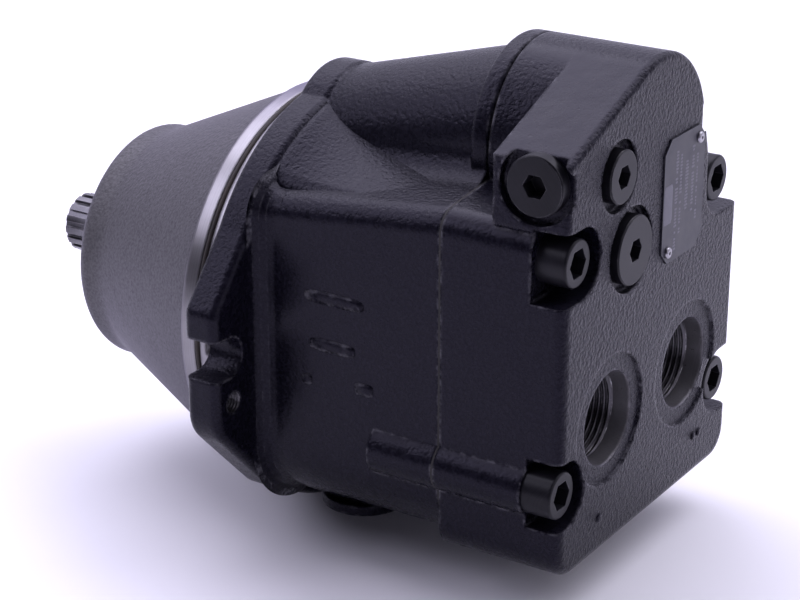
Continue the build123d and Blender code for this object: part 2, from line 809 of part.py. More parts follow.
seal_end_x = seal_carrier_start + 1.2 + seal_length
carrier_groove_x = seal_end_x + 2.2
carrier_groove_radius = seal_bore_dia / 2 - o_ring_section - 2 * film
carrier_inner_radius = seal_dia / 2 - 4
with BuildPart() as seal_carrier:
    with BuildSketch(Plane.XY):
        with BuildLine():
            Polyline(
                (seal_carrier_start, seal_bore_dia / 2), (seal_carrier_start, seal_dia / 2),
                (seal_end_x, seal_dia / 2), (seal_end_x, carrier_inner_radius),
                (front_bearing_start - 0.2, carrier_inner_radius),
                (front_bearing_start - 0.2, seal_bore_dia / 2),
                (carrier_groove_x + o_ring_section / 2 + film, seal_bore_dia / 2),
                (carrier_groove_x + o_ring_section / 2 + film, carrier_groove_radius),
                (carrier_groove_x - o_ring_section / 2 - film, carrier_groove_radius),
                (carrier_groove_x - o_ring_section / 2 - film, seal_bore_dia / 2),
                close=True,
            )
        make_face()
    revolve(axis=Axis.X)
finish(seal_carrier.part, "seal_carrier")

with BuildPart() as shaft_seal:
    lip_radius = journal_radius + fit
    with BuildSketch(Plane.XY):
        with BuildLine():
            Polyline(
                (seal_end_x - seal_length, seal_dia / 2), (seal_end_x, seal_dia / 2),
                (seal_end_x, seal_dia / 2 - 1.6), (seal_end_x - seal_length + 2.4, seal_dia / 2 - 1.6),
                (seal_end_x - seal_length + 2.4, lip_radius + 2.2), (seal_end_x - 2.0, lip_radius + 2.4),
                (seal_end_x - 2.4, lip_radius), (seal_end_x - 4.0, lip_radius + 0.9),
                (seal_end_x - seal_length, lip_radius + 0.4),
                close=True,
            )
        make_face()
    revolve(axis=Axis.X)
finish(shaft_seal.part, "shaft_seal")

with BuildPart() as seal_retaining_ring:
    with BuildSketch(section(ring_groove_x - ring_width / 2)):
        Circle(seal_bore_dia / 2 + ring_groove_depth - fit)
        Circle(seal_bore_dia / 2 - 2.6, mode=Mode.SUBTRACT)
        with Locations((0, -seal_bore_dia / 2)):
            Rectangle(9, 12, mode=Mode.SUBTRACT)
        for side in (-1, 1):
            with Locations((side * 7.4, -seal_bore_dia / 2 + 3.4)):
                Circle(2.8)
                Circle(1.1, mode=Mode.SUBTRACT)
    extrude(amount=ring_width)
finish(seal_retaining_ring.part, "seal_retaining_ring")

# ================================================================ swashplate
swash_back_x = slipper_face_x - film - swash_thickness
with BuildPart() as swashplate:
    with BuildSketch(section(swash_back_x)):
        Circle(swash_dia / 2)
    extrude(amount=swash_thickness)
    for y in (-lug_inner, lug_outer):
        with BuildSketch(Plane.XZ.offset(-y)):
            with Locations((ball_x, 0)):
                Circle(cradle_radius)
            with Locations((swash_back_x - 30, 0)):
                Rectangle(64, 2 * saddle_half_height - 4, mode=Mode.INTERSECT)
        extrude(amount=lug_outer - lug_inner)
    # arm that reaches forward to the servo piston and ends in a fork
    with BuildSketch(Plane.XZ.offset(-bulge_y - swash_arm_width / 2)):
        with BuildLine():
            Polyline(
                (-20, 45), (-20, 56.5), (-12.5, 56.5), (-12.5, 69), (11, 69),
                (servo_pin_x - 5, servo_z - 1), (servo_pin_x, servo_z), (servo_pin_x + 5, servo_z - 2),
                (16, 62), (slipper_face_x - film, 56), (slipper_face_x - film, 45),
                close=True,
            )
        make_face()
        with Locations((servo_pin_x, servo_z)):
            Circle(servo_fork_radius)
    extrude(amount=swash_arm_width)
    with Locations((servo_pin_x + 2, bulge_y, servo_z)):
        Box(20, fork_gap, 14, mode=Mode.SUBTRACT)
    with Locations((servo_pin_x, bulge_y, servo_z)):
        Cylinder(servo_pin_dia / 2, swash_arm_width + 1, rotation=(90, 0, 0), mode=Mode.SUBTRACT)
    with BuildSketch(section(swash_back_x - 40)):
        Circle(swash_bore / 2)
    extrude(amount=80, mode=Mode.SUBTRACT)
finish(swashplate.part, "swashplate")

with BuildPart() as cradle_bearings:
    for y in (-lug_inner - 0.5, lug_outer - 0.5):
        with BuildSketch(Plane.XZ.offset(-y)):
            with Locations((ball_x, 0)):
                Circle(cradle_radius + cradle_shell)
                Circle(cradle_radius, mode=Mode.SUBTRACT)
            with Locations((swash_back_x - 30, 0)):
                Rectangle(50, 2 * saddle_half_height - 6, mode=Mode.INTERSECT)
        extrude(amount=lug_outer - lug_inner - 1)
finish(cradle_bearings.part, "cradle_bearings")

# ================================================================ servo
servo_radius = servo_piston_dia / 2 - running
ring_x = servo_piston_front + servo_piston_length * 0.7
with BuildPart() as servo_piston:
    with BuildSketch(Plane.XY.offset(servo_z)):
        with BuildLine():
            Polyline(
                (servo_pin_x + 7, bulge_y), (servo_pin_x + 7, bulge_y + servo_rod_dia / 2),
                (servo_piston_front, bulge_y + servo_rod_dia / 2),
                (servo_piston_front, bulge_y + servo_radius),
                (ring_x, bulge_y + servo_radius), (ring_x, bulge_y + servo_radius - 2),
                (ring_x + 2.4, bulge_y + servo_radius - 2), (ring_x + 2.4, bulge_y + servo_radius),
                (servo_piston_front + servo_piston_length, bulge_y + servo_radius),
                (servo_piston_front + servo_piston_length, bulge_y),
                close=True,
            )
        make_face()
    revolve(axis=Axis((0, bulge_y, servo_z), (1, 0, 0)))
    with Locations((servo_pin_x - 4.5, bulge_y, servo_z)):
        Box(16, fork_gap - 0.2, 9, align=(Align.MIN, Align.CENTER, Align.CENTER))
    with Locations((servo_pin_x, bulge_y, servo_z)):
        Cylinder(servo_pin_dia / 2, swash_arm_width, rotation=(90, 0, 0), mode=Mode.SUBTRACT)
finish(servo_piston.part, "servo_piston")

with BuildPart() as servo_pin:
    with Locations((servo_pin_x, bulge_y, servo_z)):
        Cylinder(servo_pin_dia / 2, swash_arm_width + 2, rotation=(90, 0, 0))
    chamfer(servo_pin.edges().filter_by(GeomType.CIRCLE), 0.5)
finish(servo_pin.part, "servo_pin")

with BuildPart() as servo_piston_ring:
    with BuildSketch(Plane.XY.offset(servo_z)):
        with Locations((ring_x + 1.2, bulge_y + servo_piston_dia / 2 - 1)):
            Rectangle(2.2, 2)
    revolve(axis=Axis((0, bulge_y, servo_z), (1, 0, 0)))
finish(servo_piston_ring.part, "servo_piston_ring")

# ================================================================ springs
servo_spring_start = servo_piston_front + servo_piston_length + servo_spring_wire / 2 + film
servo_spring_span = cap_x - servo_spring_start - servo_spring_wire / 2 - film
relief_spring_start = relief_bore_end + relief_spring_wire / 2 + film
relief_spring_end = relief_seat_x - relief_poppet_length - relief_spring_wire / 2 - film
relief_spring_span = relief_spring_end - relief_spring_start
coil_springs = (
    ("servo_spring", (servo_spring_start, bulge_y, servo_z),
     servo_spring_radius, servo_spring_wire, servo_spring_span, servo_spring_turns),
    ("block_spring", (spring_start, 0, 0), spring_mean_radius, spring_wire, spring_length, spring_turns),
    ("relief_spring", (relief_spring_start, *relief_place),
     relief_spring_radius, relief_spring_wire, relief_spring_span, relief_spring_turns),
)
for name, centre, radius, wire, span, turns in coil_springs:
    with BuildPart() as spring:
        with BuildLine() as coil:
            Helix(span / turns, span, radius, center=centre, direction=(1, 0, 0))
        with BuildSketch(Plane(coil.line @ 0, z_dir=coil.line % 0)):
            Circle(wire / 2)
        sweep(path=coil.line, is_frenet=True)
    finish(spring.part, name)

# ================================================================ rotating group
with BuildPart() as cylinder_block:
    with BuildSketch(section(block_start)):
        Circle(block_dia / 2)
        Circle(block_spline_dia / 2 + film, mode=Mode.SUBTRACT)
    extrude(amount=block_end - block_start)
    outer_edges = cylinder_block.edges().filter_by(GeomType.CIRCLE).sort_by(SortBy.RADIUS)[-2:]
    chamfer(outer_edges, 1.2)
    with BuildSketch(section(block_start)):
        with PolarLocations((block_spline_root + block_spline_dia + 1) / 4 + 0.4, block_spline_teeth):
            Rectangle((block_spline_dia - block_spline_root) / 2 + 0.3, block_spline_gap - 0.5)
    extrude(amount=spring_chamber_start - block_start)
    with BuildSketch(section(spring_chamber_start)):
        Circle(spring_chamber_dia / 2)
    extrude(amount=spring_chamber_end - spring_chamber_start, mode=Mode.SUBTRACT)
    with BuildSketch(section(block_start)):
        with PolarLocations(piston_pitch_radius, piston_count, start_angle=90):
            Circle(piston_dia / 2 + running)
    extrude(amount=bore_bottom - block_start, mode=Mode.SUBTRACT)
    with BuildSketch(section(bore_bottom - 1)):
        for angle in piston_angles:
            SlotArc(CenterArc((0, 0), piston_pitch_radius, angle - 8, 16), kidney_width - 1)
    extrude(amount=block_end - bore_bottom + 1, mode=Mode.SUBTRACT)
    with BuildSketch(section(block_start)):
        with PolarLocations(hold_pin_radius, 3, start_angle=30):
            Circle(hold_pin_dia / 2 + film)
    extrude(amount=spring_start - block_start, mode=Mode.SUBTRACT)
    with BuildSketch(section(snap_groove_x)):
        Circle(spring_chamber_dia / 2 + 1.5)
    extrude(amount=snap_ring_thickness + fit, mode=Mode.SUBTRACT)
finish(cylinder_block.part, "cylinder_block")

front_seat_x = spring_start - spring_wire / 2 - fit - spring_seat_thickness
with BuildPart() as spring_seats:
    for start in (front_seat_x, spring_end + spring_wire / 2):
        with BuildSketch(section(start)):
            Circle(spring_chamber_dia / 2 - 0.3)
            Circle(shaft_body_dia / 2 + 0.6, mode=Mode.SUBTRACT)
        extrude(amount=spring_seat_thickness)
finish(spring_seats.part, "spring_seats")

with BuildPart() as block_snap_ring:
    with BuildSketch(section(snap_groove_x + fit / 2)):
        Circle(spring_chamber_dia / 2 + 1.4)
        Circle(spring_chamber_dia / 2 - 1.8, mode=Mode.SUBTRACT)
        with Locations((0, spring_chamber_dia / 2)):
            Rectangle(6, 8, mode=Mode.SUBTRACT)
    extrude(amount=snap_ring_thickness)
finish(block_snap_ring.part, "block_snap_ring")

with BuildPart() as hold_down_pins:
    with BuildSketch(section(guide_end)):
        with PolarLocations(hold_pin_radius, 3, start_angle=30):
            Circle(hold_pin_dia / 2)
    extrude(amount=front_seat_x - guide_end)
finish(hold_down_pins.part, "hold_down_pins")

with BuildPart() as ball_guide:
    with BuildSketch(Plane.XY):
        with Locations((ball_x, 0)):
            Circle(guide_radius)
        with Locations((guide_end / 2 + 1, 12)):
            Rectangle(guide_end - 2, 40, mode=Mode.INTERSECT)
        with Locations((ball_x, 0)):
            Rectangle(80, shaft_body_dia + 0.3, mode=Mode.SUBTRACT)
    with BuildSketch(Plane.XY):
        with Locations((guide_end - 3, (shaft_body_dia + 0.3) / 2 + 3.9)):
            Rectangle(6, 7.8)
    revolve(axis=Axis.X)
finish(ball_guide.part, "ball_guide")

with BuildPart() as slipper_retainer:
    with BuildSketch(section(slipper_back_x + film)):
        Circle(retainer_dia / 2)
        Circle(guide_radius + fit, mode=Mode.SUBTRACT)
        with PolarLocations(piston_pitch_radius, piston_count, start_angle=90):
            Circle(slipper_neck_dia / 2 + 0.3, mode=Mode.SUBTRACT)
    extrude(amount=retainer_thickness)
finish(slipper_retainer.part, "slipper_retainer")

piston_radius = piston_dia / 2
with BuildPart() as piston:
    with BuildSketch(Plane.XY):
        with BuildLine():
            Polyline(
                (ball_x, 0), (ball_x, piston_neck_dia / 2), (ball_x + 9, piston_neck_dia / 2),
                (ball_x + 14, piston_radius), (piston_rear - 1, piston_radius),
                (piston_rear, piston_radius - 1), (piston_rear, piston_hollow_dia / 2),
                (ball_x + 20, piston_hollow_dia / 2), (ball_x + 18, 0),
                close=True,
            )
        make_face()
    revolve(axis=Axis.X)
    with Locations((ball_x, 0, 0)):
        Sphere(ball_radius)

neck_radius = slipper_neck_dia / 2
socket_end_x = ball_x + 3.5
with BuildPart() as slipper:
    with BuildSketch(Plane.XY):
        with BuildLine():
            Polyline(
                (slipper_face_x, 3), (slipper_face_x, slipper_foot_dia / 2),
                (slipper_back_x, slipper_foot_dia / 2), (slipper_back_x, neck_radius),
                (socket_end_x - 1.5, neck_radius), (socket_end_x, neck_radius - 1.2),
                (socket_end_x, 0), (slipper_face_x + 1, 0), (slipper_face_x + 1, 3),
                close=True,
            )
        make_face()
    revolve(axis=Axis.X)
    with Locations((ball_x, 0, 0)):
        Sphere(ball_radius + film, mode=Mode.SUBTRACT)

for number, angle in enumerate(piston_angles, start=1):
    turn = radians(angle)
    place = Location((0, piston_pitch_radius * cos(turn), piston_pitch_radius * sin(turn)))
    finish(piston.part.moved(place), f"piston_{number}")
    finish(slipper.part.moved(place), f"slipper_{number}")

with BuildPart() as valve_plate:
    with BuildSketch(section(valve_plate_x)):
        Circle(valve_plate_dia / 2)
        Circle(shaft_body_dia / 2 + 2, mode=Mode.SUBTRACT)
        for middle in (0, 180):
            kidney = CenterArc((0, 0), piston_pitch_radius, middle - plate_kidney_half, 2 * plate_kidney_half)
            SlotArc(kidney, kidney_width, mode=Mode.SUBTRACT)
        with Locations((0, -timing_pin_radius)):
            Circle(timing_pin_dia / 2, mode=Mode.SUBTRACT)
    extrude(amount=valve_plate_thickness)
finish(valve_plate.part, "valve_plate")

# ================================================================ end cap valves and plugs
with BuildPart() as shuttle_spool:
    with BuildSketch(Plane.XZ.offset(-spool_centre_y - spool_length / 2)):
        with Locations((shuttle_x, shuttle_z)):
            Circle(spool_waist_dia / 2)
    extrude(amount=spool_length)
    for y in (spool_centre_y + spool_length / 2, spool_centre_y - spool_length / 2 + spool_land):
        with BuildSketch(Plane.XZ.offset(-y)):
            with Locations((shuttle_x, shuttle_z)):
                Circle(spool_dia / 2 - running)
        extrude(amount=spool_land)
finish(shuttle_spool.part, "shuttle_spool")

half_wire = shuttle_spring_wire / 2
for name, low, high in (
    ("near", shuttle_near_y, spool_centre_y - spool_length / 2),
    ("far", spool_centre_y + spool_length / 2, shuttle_far_y - side_thread_length),
):
    start_y = low + half_wire + film
    span = high - low - shuttle_spring_wire - 2 * film
    with BuildPart() as spring:
        with BuildLine() as coil:
            Helix(
                span / shuttle_spring_turns, span, shuttle_spring_radius,
                center=(shuttle_x, start_y, shuttle_z), direction=(0, 1, 0),
            )
        with BuildSketch(Plane(coil.line @ 0, z_dir=coil.line % 0)):
            Circle(half_wire)
        sweep(path=coil.line, is_frenet=True)
    finish(spring.part, f"shuttle_spring_{name}")

with BuildPart() as relief_seat:
    with BuildSketch(section(relief_seat_x)):
        with Locations(relief_place):
            Circle(relief_bore_dia / 2)
            Circle(relief_seat_hole / 2, mode=Mode.SUBTRACT)
    extrude(amount=relief_seat_length)
finish(relief_seat.part, "relief_seat")

with BuildPart() as relief_poppet:
    relief_y, relief_z = relief_place
    with BuildSketch(Plane.XY.offset(relief_z)):
        with BuildLine():
            Polyline(
                (relief_seat_x - relief_poppet_length, relief_y),
                (relief_seat_x - relief_poppet_length, relief_y + relief_bore_dia / 2 - film),
                (relief_seat_x - 2, relief_y + relief_bore_dia / 2 - film),
                (relief_seat_x - film, relief_y + relief_seat_hole / 2 - film),
                (relief_seat_x + 1.2, relief_y + relief_seat_hole / 2 - 1.2),
                (relief_seat_x + 1.2, relief_y),
                close=True,
            )
        make_face()
    revolve(axis=Axis((0, relief_y, relief_z), (1, 0, 0)))
finish(relief_poppet.part, "relief_poppet")

relief_seat_plane = Plane((plug_floor_x, *relief_place), x_dir=(0, 1, 0), z_dir=(1, 0, 0))
gauge_seat_plane = Plane((plug_floor_x, *gauge_place), x_dir=(0, 1, 0), z_dir=(1, 0, 0))
near_floor = (shuttle_x, side_spotface_depth - slab_left, shuttle_z)
near_seat_plane = Plane(near_floor, x_dir=(1, 0, 0), z_dir=(0, -1, 0))
far_seat_plane = Plane((shuttle_x, shuttle_far_y, shuttle_z), x_dir=(1, 0, 0), z_dir=(0, 1, 0))
plug_groups = (
    ("relief_plug", (relief_seat_plane,), relief_disc_dia, relief_thread_dia, relief_thread_length),
    ("gauge_plug", (gauge_seat_plane,), gauge_disc_dia, gauge_thread_dia, gauge_thread_length),
    ("shuttle_plugs", (near_seat_plane, far_seat_plane), side_disc_dia, side_thread_dia, side_thread_length),
)
plug_height = plug_spotface_depth + plug_proud
groove = o_ring_section + 2 * film
for name, seats, disc, thread, length in plug_groups:
    with BuildPart() as plug:
        for seat in seats:
            with BuildSketch(seat.offset(-length)):
                Circle(thread / 2)
            extrude(amount=length)
            with BuildSketch(seat):
                Circle(disc / 2)
            extrude(amount=plug_height)
            rims = plug.edges().filter_by(GeomType.CIRCLE).sort_by(Axis(seat.origin, seat.z_dir))
            chamfer(rims[-1], 0.5)
            with BuildSketch(seat.offset(plug_height)):
                RegularPolygon(plug_hex / 2, 6, major_radius=False)
            extrude(amount=-plug_hex_depth, mode=Mode.SUBTRACT)
            with BuildSketch(seat):
                Circle(thread / 2 + groove)
                Circle(thread / 2, mode=Mode.SUBTRACT)
            extrude(amount=groove, mode=Mode.SUBTRACT)
    finish(plug.part, name)

with BuildPart() as static_o_rings:
    for name, seats, disc, thread, length in plug_groups:
        for seat in seats:
            with Locations(seat.offset(groove / 2)):
                Torus((thread + groove) / 2, o_ring_section / 2)
    with Locations(section(carrier_groove_x)):
        Torus((seal_bore_dia - groove) / 2, o_ring_section / 2)
    pilot_ring_radius = (pilot_groove_width - fit) / 2
    with Locations(section(-pilot_groove_start - pilot_groove_width / 2)):
        Torus(pilot_radius - pilot_groove_depth + pilot_ring_radius, pilot_ring_radius)
finish(static_o_rings.part, "static_o_rings")

# ================================================================ nameplate
with BuildPart() as nameplate:
    with BuildSketch(section(rear_x)) as plate_outline:
        with Locations(((plate_left + plate_right) / 2, (plate_low + plate_high) / 2)):
            Rectangle(plate_right - plate_left, plate_high - plate_low)
        chamfer(plate_outline.vertices(), plate_corner)
        with Locations(*rivet_places):
            Circle(rivet_dia / 2, mode=Mode.SUBTRACT)
    extrude(amount=plate_thickness)
finish(nameplate.part, "nameplate")

with BuildPart() as nameplate_drive_screws:
    with BuildSketch(section(rear_x - rivet_length + 1)):
        with Locations(*rivet_places):
            Circle(rivet_dia / 2)
    extrude(amount=rivet_length - 1 + plate_thickness)
    with BuildSketch(section(rear_x + plate_thickness)):
        with Locations(*rivet_places):
            Circle(rivet_head_dia / 2)
    extrude(amount=1.2)
    fillet(nameplate_drive_screws.faces().sort_by(Axis.X)[-2:].edges(), 0.9)
    with BuildSketch(section(rear_x + plate_thickness + 0.6)):
        with Locations(*rivet_places):
            Circle(0.7)
    extrude(amount=1, mode=Mode.SUBTRACT)
finish(nameplate_drive_screws.part, "nameplate_drive_screws")
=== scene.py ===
import json
import math
import bpy
import numpy as np
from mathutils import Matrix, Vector

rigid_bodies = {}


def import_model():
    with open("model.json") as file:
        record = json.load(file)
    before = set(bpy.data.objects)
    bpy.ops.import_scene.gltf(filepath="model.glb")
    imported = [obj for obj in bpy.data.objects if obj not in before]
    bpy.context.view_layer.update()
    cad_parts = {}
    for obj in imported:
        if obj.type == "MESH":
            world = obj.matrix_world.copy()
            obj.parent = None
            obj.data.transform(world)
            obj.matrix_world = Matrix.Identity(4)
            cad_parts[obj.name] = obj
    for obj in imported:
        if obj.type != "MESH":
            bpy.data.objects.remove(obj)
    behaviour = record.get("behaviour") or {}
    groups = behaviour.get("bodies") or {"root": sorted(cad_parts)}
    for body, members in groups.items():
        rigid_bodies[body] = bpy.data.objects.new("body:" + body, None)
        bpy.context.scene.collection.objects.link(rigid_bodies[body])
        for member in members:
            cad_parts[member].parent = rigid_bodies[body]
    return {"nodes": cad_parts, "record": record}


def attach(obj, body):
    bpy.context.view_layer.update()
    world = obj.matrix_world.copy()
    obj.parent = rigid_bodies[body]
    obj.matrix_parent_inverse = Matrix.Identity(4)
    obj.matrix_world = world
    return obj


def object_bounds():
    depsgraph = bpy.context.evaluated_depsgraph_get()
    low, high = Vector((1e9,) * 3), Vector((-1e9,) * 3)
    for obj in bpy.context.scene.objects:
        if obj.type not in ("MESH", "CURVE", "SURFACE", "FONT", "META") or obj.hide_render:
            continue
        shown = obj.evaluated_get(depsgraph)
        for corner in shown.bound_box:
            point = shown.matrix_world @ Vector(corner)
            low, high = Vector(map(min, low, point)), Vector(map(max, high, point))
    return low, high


# the start-up cube, light and camera go first, so that only the pump is measured
for leftover in list(bpy.data.objects):
    bpy.data.objects.remove(leftover)

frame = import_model()
nodes = frame["nodes"]
cadBox = [list(corner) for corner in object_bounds()]
print("frame loaded:", len(nodes), "nodes")

mm = 0.001


# ---- meshes ----

def meshFromGrid(name, points, closeU, closeV):
    # points is an array (rows, columns, 3); quads join neighbours, wrapping where a direction is closed
    rows, columns = points.shape[:2]
    rowIndex = np.arange(rows if closeU else rows - 1)
    columnIndex = np.arange(columns if closeV else columns - 1)
    r, c = np.meshgrid(rowIndex, columnIndex, indexing="ij")
    rNext, cNext = (r + 1) % rows, (c + 1) % columns
    corners = [r * columns + c, rNext * columns + c, rNext * columns + cNext, r * columns + cNext]
    quads = np.stack(corners, axis=-1)
    return meshFromArrays(name, points.reshape(-1, 3), quads.reshape(-1, 4).tolist())


def meshFromArrays(name, points, faces):
    mesh = bpy.data.meshes.new(name)
    mesh.from_pydata(points.tolist(), [], faces)
    mesh.polygons.foreach_set("use_smooth", np.ones(len(mesh.polygons), dtype=bool))
    mesh.update()
    made = bpy.data.objects.new(name, mesh)
    bpy.context.scene.collection.objects.link(made)
    return made


def alongAxis(centre, axis, distance, radius, angle):
    # a point at that distance along the axis and that radius and angle round it
    side = np.array([0.0, 1.0, 0.0]) if abs(axis[1]) < 0.5 else np.array([0.0, 0.0, 1.0])
    up = np.cross(axis, side)
    return (
        np.array(centre)
        + distance[..., None] * np.array(axis)
        + (radius * np.cos(angle))[..., None] * side
        + (radius * np.sin(angle))[..., None] * up
    )


# a thread ridge: flat top and flank slope over one pitch, run-out in pitches, sleeve wall in millimetres
ridgeShape = {"top": 1.6, "flank": 6.0, "runOut": 0.6, "wall": 0.15}


def threadSleeve(name, settings):
    # inner wall: radius falls from the root to the crest once a pitch, the phase turning once round the axis;
    # outer wall: a plain cylinder just inside the metal; both are one closed tube
    centre, axis = np.array(settings["mouth"]) * mm, np.array(settings["inward"], dtype=float)
    pitch, root, crest = settings["pitch"] * mm, settings["root"] * mm, settings["crest"] * mm
    length, around = settings["length"] * mm, settings["around"]
    steps = int(length / pitch * settings["stepsPerPitch"])
    along = np.linspace(0.0, length, steps)
    angle = np.linspace(0.0, 2 * math.pi, around, endpoint=False)
    a, s = np.meshgrid(angle, along, indexing="ij")
    phase = np.mod(s / pitch + a / (2 * math.pi), 1.0)
    ridge = np.clip(ridgeShape["top"] - ridgeShape["flank"] * np.abs(phase - 0.5), 0.0, 1.0)
    fade = np.clip(np.minimum(s, length - s) / (pitch * ridgeShape["runOut"]), 0.0, 1.0)
    inner = alongAxis(centre, axis, s, root - (root - crest) * ridge * fade, a)
    outer = alongAxis(centre, axis, s, np.full_like(s, root + ridgeShape["wall"] * mm), a)
    return meshFromGrid(name, np.concatenate([outer, inner[:, ::-1]], axis=1), True, True)


def raisedPips(name, settings):
    # low rounded pads: from a closed pole under the face the outline goes up as a superellipse,
    # |u|^k + |v|^k = 1, drawn in by the cosine of the rise while the height follows its sine, to a pole
    turn = np.linspace(0, 2 * math.pi, 28, endpoint=False)
    rise = np.linspace(0, math.pi / 2, 6)
    a, t = np.meshgrid(turn, rise[:-1], indexing="ij")
    n, m = a.shape
    cosine, sine = np.cos(a), np.sin(a)
    k = settings["squareness"]
    reach = (np.abs(cosine) ** k + np.abs(sine) ** k) ** (-1 / k) * np.cos(t) ** 0.6
    i, j = np.meshgrid(np.arange(n), np.arange(m - 1), indexing="ij")
    walls = np.stack([i * m + j, ((i + 1) % n) * m + j, ((i + 1) % n) * m + j + 1, i * m + j + 1], axis=-1)
    ends = np.arange(n)
    under = np.column_stack([((ends + 1) % n) * m, ends * m, np.full(n, n * m)])
    over = np.column_stack([ends * m + m - 1, ((ends + 1) % n) * m + m - 1, np.full(n, n * m + 1)])
    points, faces = [], []
    for count, (u, v, halfU, halfV) in enumerate(settings["places"]):
        out = settings["height"] * np.sin(t) - settings["sunk"] * (t == 0)
        ring = np.stack([out, u + halfU * reach * cosine, v + halfV * reach * sine], axis=-1).reshape(-1, 3)
        points.append(np.concatenate([ring, [[-settings["sunk"], u, v], [settings["height"], u, v]]]))
        shift = count * (n * m + 2)
        for part in (walls.reshape(-1, 4), under, over):
            faces += (part + shift).tolist()
    local = np.concatenate(points)
    frameAxes = np.array([settings["out"], settings["u"], settings["v"]], dtype=float)
    placed = local @ frameAxes + np.array(settings["out"]) * settings["face"]
    return meshFromArrays(name, placed * mm, faces)


# ---- shader helpers ----

def place(tree, kind, values=None, **settings):
    # one node; a value that is a socket is linked, anything else is set
    made = tree.nodes.new(kind)
    for key, value in settings.items():
        setattr(made, key, value)
    for key, value in (values or {}).items():
        if isinstance(value, bpy.types.NodeSocket):
            tree.links.new(value, made.inputs[key])
        else:
            made.inputs[key].default_value = value
    return made


def calc(tree, operation, a, b=0.0, c=0.0, clamp=False):
    return place(tree, "ShaderNodeMath", {0: a, 1: b, 2: c}, operation=operation, use_clamp=clamp).outputs[0]


def blendColour(tree, factor, a, b):
    made = place(tree, "ShaderNodeMix", data_type="RGBA")
    for index, value in ((0, factor), (6, a), (7, b)):
        if isinstance(value, bpy.types.NodeSocket):
            tree.links.new(value, made.inputs[index])
        else:
            made.inputs[index].default_value = (*value, 1.0) if index > 5 else value
    return made.outputs[2]


def blendValue(tree, factor, a, b):
    # a where factor is 0, b where it is 1
    return calc(tree, "MULTIPLY_ADD", factor, calc(tree, "SUBTRACT", b, a), a)


def ramp(tree, value, low, high, toLow=0.0, toHigh=1.0):
    return place(tree, "ShaderNodeMapRange", {"Value": value, "From Min": low, "From Max": high,
                                              "To Min": toLow, "To Max": toHigh}, clamp=True).outputs[0]


def startGroup(name, inputs, outputs):
    group = bpy.data.node_groups.new(name, "ShaderNodeTree")
    for label, kind, value in inputs:
        socket = group.interface.new_socket(label, in_out="INPUT", socket_type=kind)
        if value is not None:
            socket.default_value = value
    for label, kind in outputs:
        group.interface.new_socket(label, in_out="OUTPUT", socket_type=kind)
    return group, group.nodes.new("NodeGroupInput").outputs, group.nodes.new("NodeGroupOutput").inputs


def useGroup(tree, group, values):
    made = place(tree, "ShaderNodeGroup", node_tree=group)
    for key, value in values.items():
        if isinstance(value, bpy.types.NodeSocket):
            tree.links.new(value, made.inputs[key])
        else:
            made.inputs[key].default_value = value
    return made.outputs


# ---- shared effects ----

def buildCastSkin():
    # sand-cast skin: fine grain, soft lumps and small pits, as a height in metres, with a matching tone
    group, given, result = startGroup(
        "castSkin",
        [("Vector", "NodeSocketVector", None), ("Grain", "NodeSocketFloat", 700.0),
         ("Grain Height", "NodeSocketFloat", 0.00004), ("Lump Height", "NodeSocketFloat", 0.0002),
         ("Pits", "NodeSocketFloat", 0.3)],
        [("Height", "NodeSocketFloat"), ("Tone", "NodeSocketFloat")],
    )
    fine = place(group, "ShaderNodeTexNoise", {"Vector": given["Vector"], "Scale": given["Grain"],
                                               "Detail": 3.0, "Roughness": 0.55}).outputs[0]
    lump = place(group, "ShaderNodeTexNoise", {"Vector": given["Vector"], "Scale": 75.0,
                                               "Detail": 2.0}).outputs[0]
    cell = place(group, "ShaderNodeTexVoronoi", {"Vector": given["Vector"], "Scale": 330.0},
                 feature="F1").outputs[0]
    pit = ramp(group, cell, 0.0, 0.28, 1.0, 0.0)
    patches = place(group, "ShaderNodeTexNoise", {"Vector": given["Vector"], "Scale": 140.0}).outputs[0]
    chosen = ramp(group, patches, 0.52, 0.62)
    pit = calc(group, "MULTIPLY", calc(group, "MULTIPLY", pit, chosen), given["Pits"])
    height = calc(group, "MULTIPLY", fine, given["Grain Height"])
    height = calc(group, "MULTIPLY_ADD", lump, given["Lump Height"], height)
    height = calc(group, "MULTIPLY_ADD", pit, -0.00012, height)
    group.links.new(height, result["Height"])
    group.links.new(calc(group, "SUBTRACT", fine, pit), result["Tone"])
    return group


def buildEdgeWear():
    # worn edges: the rounded normal differs from the true one near an edge, broken up by noise
    group, given, result = startGroup(
        "edgeWear",
        [("Vector", "NodeSocketVector", None), ("Radius", "NodeSocketFloat", 0.0006),
         ("Amount", "NodeSocketFloat", 0.6)],
        [("Mask", "NodeSocketFloat"), ("Normal", "NodeSocketVector")],
    )
    soft = place(group, "ShaderNodeBevel", {"Radius": given["Radius"]}, samples=6).outputs[0]
    true = place(group, "ShaderNodeNewGeometry").outputs["Normal"]
    bend = place(group, "ShaderNodeVectorMath", {0: soft, 1: true}, operation="DOT_PRODUCT").outputs["Value"]
    edge = ramp(group, bend, 0.992, 0.93)
    patchy = place(group, "ShaderNodeTexNoise", {"Vector": given["Vector"], "Scale": 180.0, "Detail": 4.0,
                                                 "Roughness": 0.7}).outputs[0]
    broken = ramp(group, patchy, 0.46, 0.62)
    mask = calc(group, "MULTIPLY", calc(group, "MULTIPLY", edge, broken), given["Amount"], clamp=True)
    group.links.new(mask, result["Mask"])
    group.links.new(soft, result["Normal"])
    return group


